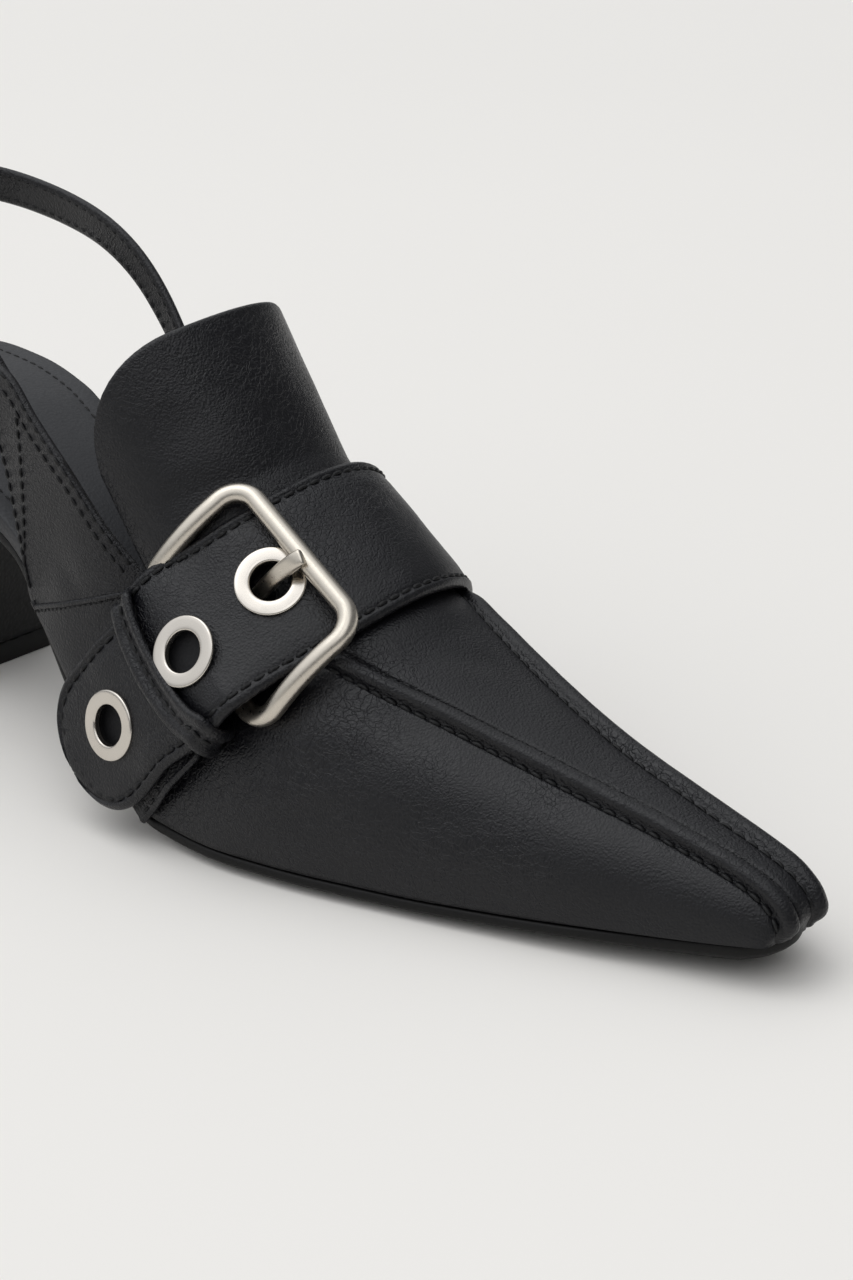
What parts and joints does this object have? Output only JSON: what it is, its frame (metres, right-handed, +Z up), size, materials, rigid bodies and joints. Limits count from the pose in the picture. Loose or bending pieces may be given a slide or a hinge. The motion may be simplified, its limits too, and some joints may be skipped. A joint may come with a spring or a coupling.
{
  "type": "mule",
  "caption": "Pointed black leather slingback mule for the right foot on a block heel, with a tall tongue and a wide buckled strap over the instep.",
  "frame": {"origin": "on the floor under the middle of the shoe's bounding box", "axes": "+X towards the toe, +Y towards the inner side of the foot, +Z up"},
  "size_m": [0.264, 0.081, 0.1082],
  "materials": {
    "upper_leather": "black full grain, satin sheen",
    "insole_leather": "charcoal lining leather, smooth",
    "sole": "black inked sole leather",
    "heel": "block covered in black leather",
    "lift": "black rubber, matt",
    "buckle_metal": "pale satin nickel plate",
    "eyelet_metal": "bright nickel plate"
  },
  "bodies": {
    "root": {"upper": "upper_leather", "sling_strap": "upper_leather", "strap": "upper_leather", "chape": "upper_leather", "keeper": "upper_leather", "insole": "insole_leather", "outsole": "sole", "heel": "heel", "top_lift": "lift", "buckle_frame": "buckle_metal", "prong": "buckle_metal", "eyelet_1": "eyelet_metal", "eyelet_2": "eyelet_metal", "eyelet_3": "eyelet_metal"}
  },
  "joints": []
}
